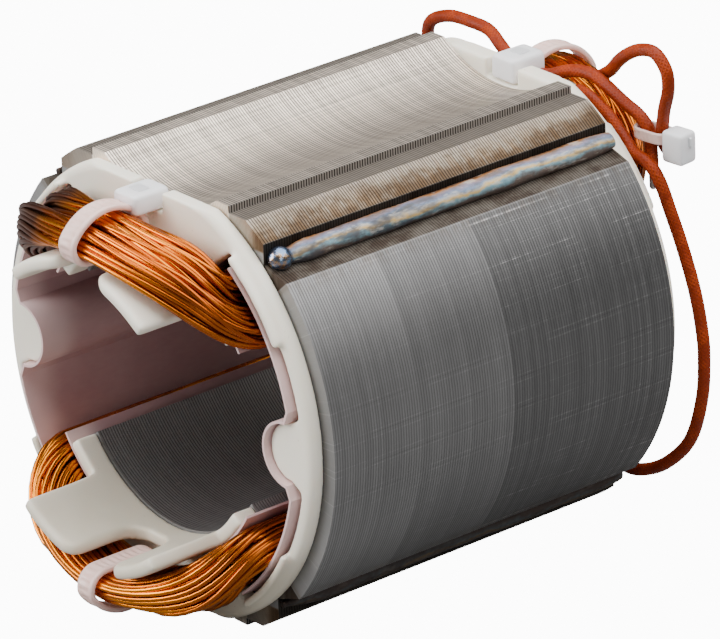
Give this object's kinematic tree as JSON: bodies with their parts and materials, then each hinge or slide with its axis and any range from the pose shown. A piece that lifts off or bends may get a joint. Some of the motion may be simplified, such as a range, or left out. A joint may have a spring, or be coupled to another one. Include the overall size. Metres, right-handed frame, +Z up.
{
  "type": "universal motor stator",
  "caption": "Wound stator of a universal motor: welded lamination stack, ivory end frames, two copper saddle coils, slot liners, cable ties and red-brown sleeved leads.",
  "frame": {"origin": "on the rotor axis, halfway along the lamination stack", "axes": "+Z up along the pole axis, +Y along the rotor axis from the front face to the lead side, +X to the right seen from the front"},
  "size_m": [0.078, 0.105, 0.0761],
  "materials": {
    "laminated_steel": "fine lamination lines",
    "weld_steel": "heat-tinted weld",
    "ivory_plastic": "satin moulding",
    "liner_paper": "matte",
    "enamelled_copper": "glossy enamel over copper",
    "nylon_tie": "translucent satin",
    "lead_sleeve": "varnished glass braid",
    "tinned_wire": "bright tin"
  },
  "bodies": {
    "root": {"lamination_stack": "laminated_steel", "front_end_frame": "ivory_plastic", "rear_end_frame": "ivory_plastic", "upper_right_weld": "weld_steel", "upper_left_weld": "weld_steel", "lower_right_weld": "weld_steel", "lower_left_weld": "weld_steel", "left_slot_liner": "liner_paper", "right_slot_liner": "liner_paper", "upper_coil": "enamelled_copper", "lower_coil": "enamelled_copper", "front_upper_tie": "nylon_tie", "front_lower_tie": "nylon_tie", "rear_upper_tie": "nylon_tie", "rear_lower_tie": "nylon_tie", "lead_tie": "nylon_tie", "upper_left_lead": "lead_sleeve", "upper_right_lead": "lead_sleeve", "lower_right_lead": "lead_sleeve", "lower_left_lead": "lead_sleeve", "upper_left_tinned_end": "tinned_wire", "upper_right_tinned_end": "tinned_wire", "lower_right_tinned_end": "tinned_wire", "lower_left_tinned_end": "tinned_wire"}
  },
  "joints": []
}
